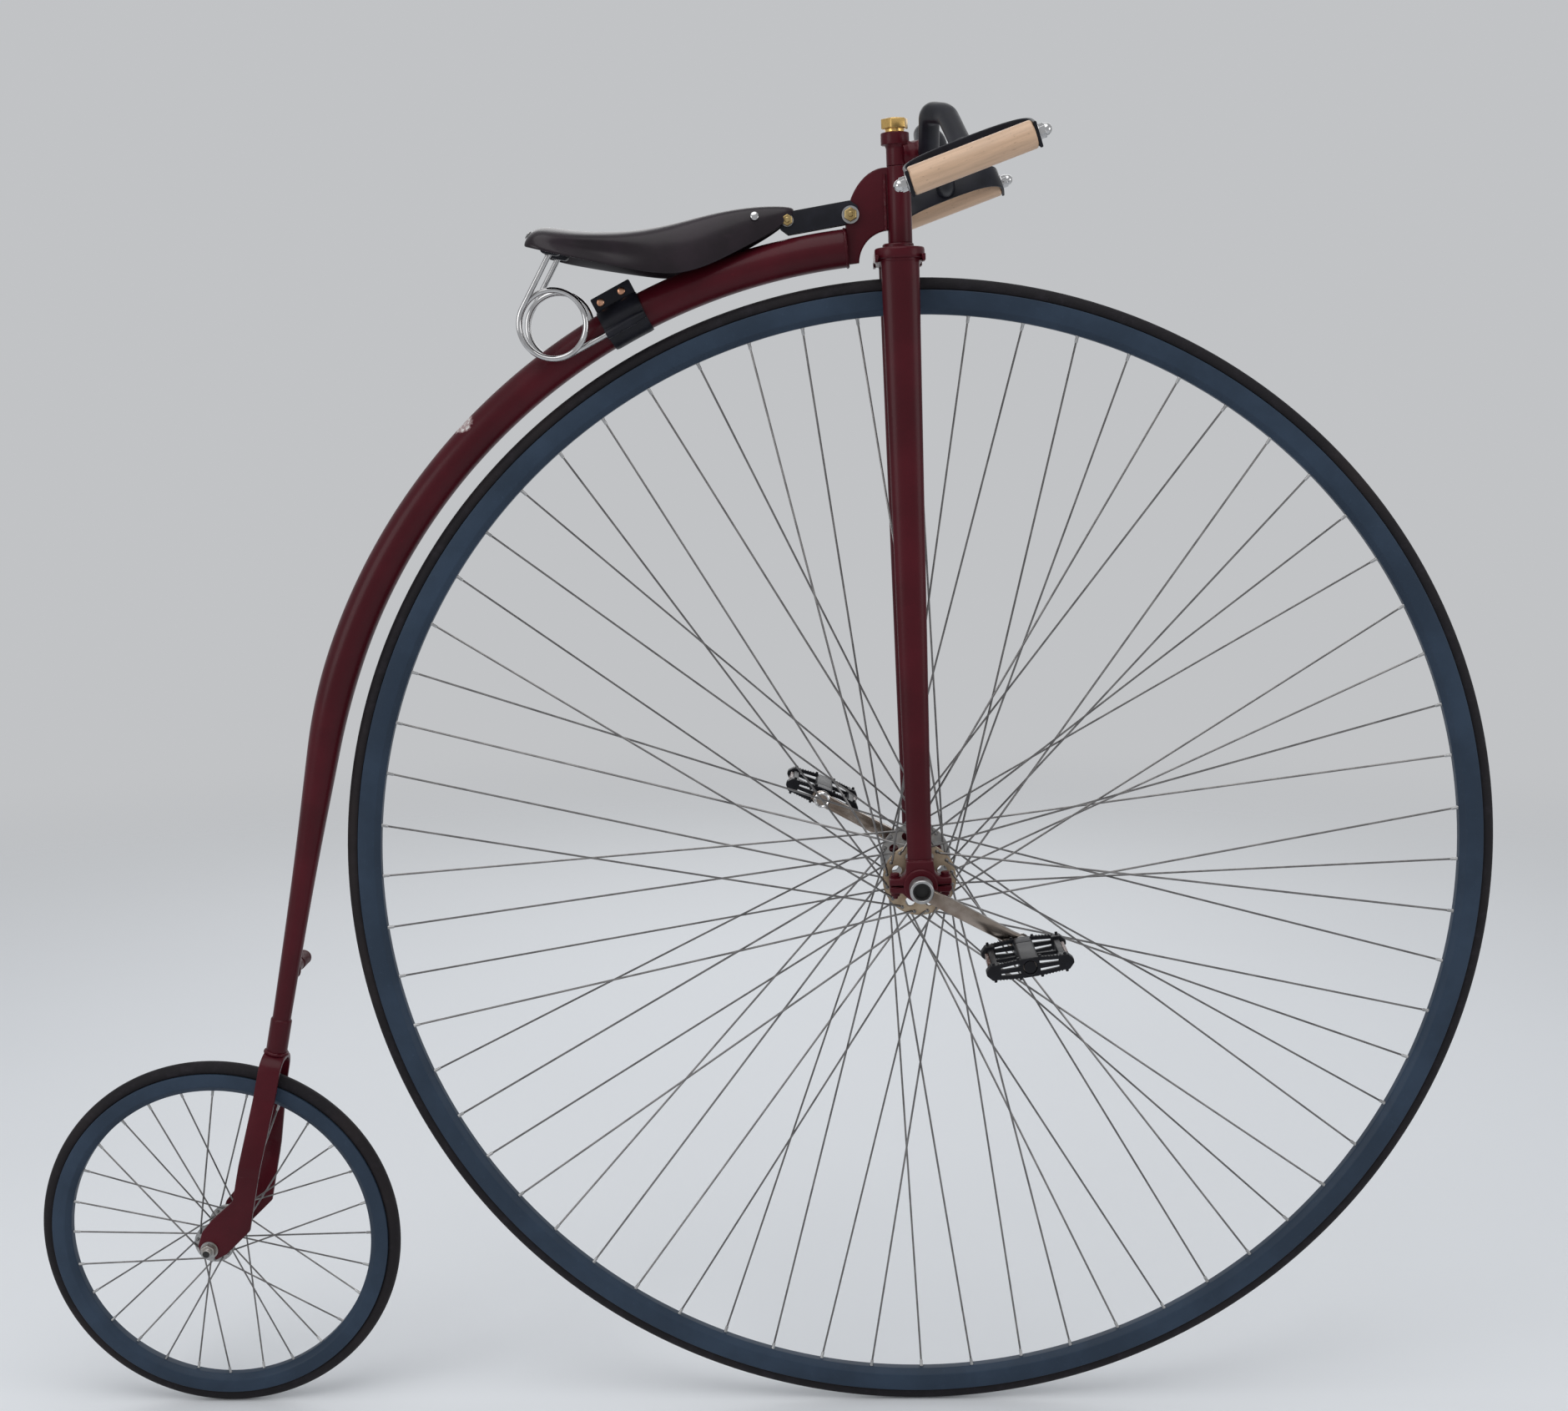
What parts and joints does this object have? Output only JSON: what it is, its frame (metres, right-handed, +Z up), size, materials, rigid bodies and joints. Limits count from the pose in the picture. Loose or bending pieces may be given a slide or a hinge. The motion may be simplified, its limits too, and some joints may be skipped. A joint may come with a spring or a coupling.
{
  "type": "penny farthing bicycle",
  "caption": "High-wheel bicycle with direct-drive cranks on a tall front wheel, a curved backbone, a small rear wheel, a sprung leather saddle and spade grips.",
  "frame": {"origin": "top of the saddle leather on the centre plane, where the rider sits", "axes": "+X forward, +Y to the rider's left, +Z up"},
  "size_m": [1.7144, 0.473, 1.4916],
  "materials": {
    "paint_maroon": "gloss, slightly orange-peeled",
    "paint_blue": "satin-gloss",
    "black_steel": "satin",
    "zinc_steel": "dull zinc plate",
    "yellow_zinc": "yellow zinc plate",
    "spoke_steel": "drawn wire",
    "polished_steel": "polished",
    "chrome": "bright",
    "brass": "bright, a little tarnished",
    "saddle_leather": "glossy",
    "wood": "clear-coated",
    "tyre": "matt",
    "black_plastic": "moulded",
    "amber_plastic": "glossy"
  },
  "bodies": {
    "frame": {"backbone": "paint_maroon", "neck": "paint_maroon", "rear_fork_crown": "paint_maroon", "rear_blade_left": "paint_maroon", "rear_blade_right": "paint_maroon", "rear_axle": "zinc_steel", "mounting_step": "paint_maroon", "saddle_leather": "saddle_leather", "saddle_cantle": "black_steel", "saddle_nose": "black_steel", "spring_left": "chrome", "spring_right": "chrome", "spring_clamp": "black_steel", "saddle_link_left": "black_steel", "saddle_link_right": "black_steel", "link_bolts": "yellow_zinc"},
    "steering": {"fork_crown": "paint_maroon", "fork_blade_left": "paint_maroon", "fork_blade_right": "paint_maroon", "bearing_uppers": "paint_maroon", "bearing_caps": "paint_maroon", "head_stem": "paint_maroon", "head_plug": "brass", "handlebar": "black_steel", "grip_left": "wood", "grip_right": "wood", "grip_rods": "chrome", "grip_bows": "black_steel"},
    "front_wheel": {"front_tyre": "tyre", "front_rim": "paint_blue", "front_spokes": "spoke_steel", "front_hub": "zinc_steel", "front_spindle": "zinc_steel", "crank_left": "polished_steel", "crank_right": "polished_steel", "pedal_spindles": "polished_steel"},
    "pedal_left": {"pedal_left": "black_plastic", "pedal_reflectors_left": "amber_plastic"},
    "pedal_right": {"pedal_right": "black_plastic", "pedal_reflectors_right": "amber_plastic"},
    "rear_wheel": {"rear_tyre": "tyre", "rear_rim": "paint_blue", "rear_spokes": "spoke_steel", "rear_hub": "zinc_steel"}
  },
  "joints": [
    {"name": "steering", "type": "hinge", "parent": "frame", "child": "steering", "pos_m": [0.34, 0, -0.7101], "axis": [-0.0305, 0, 0.9995], "range_deg": [-30, 30]},
    {"name": "front_wheel_spin", "type": "hinge", "parent": "steering", "child": "front_wheel", "pos_m": [0.34, 0, -0.7101], "axis": [0, 1, 0], "continuous": true},
    {"name": "pedal_left_spin", "type": "hinge", "parent": "front_wheel", "child": "pedal_left", "pos_m": [0.23004, 0, -0.65065], "axis": [0, 1, 0], "continuous": true},
    {"name": "pedal_right_spin", "type": "hinge", "parent": "front_wheel", "child": "pedal_right", "pos_m": [0.44996, 0, -0.76955], "axis": [0, 1, 0], "continuous": true},
    {"name": "rear_wheel_spin", "type": "hinge", "parent": "frame", "child": "rear_wheel", "pos_m": [-0.498, 0, -1.1545], "axis": [0, 1, 0], "continuous": true}
  ]
}
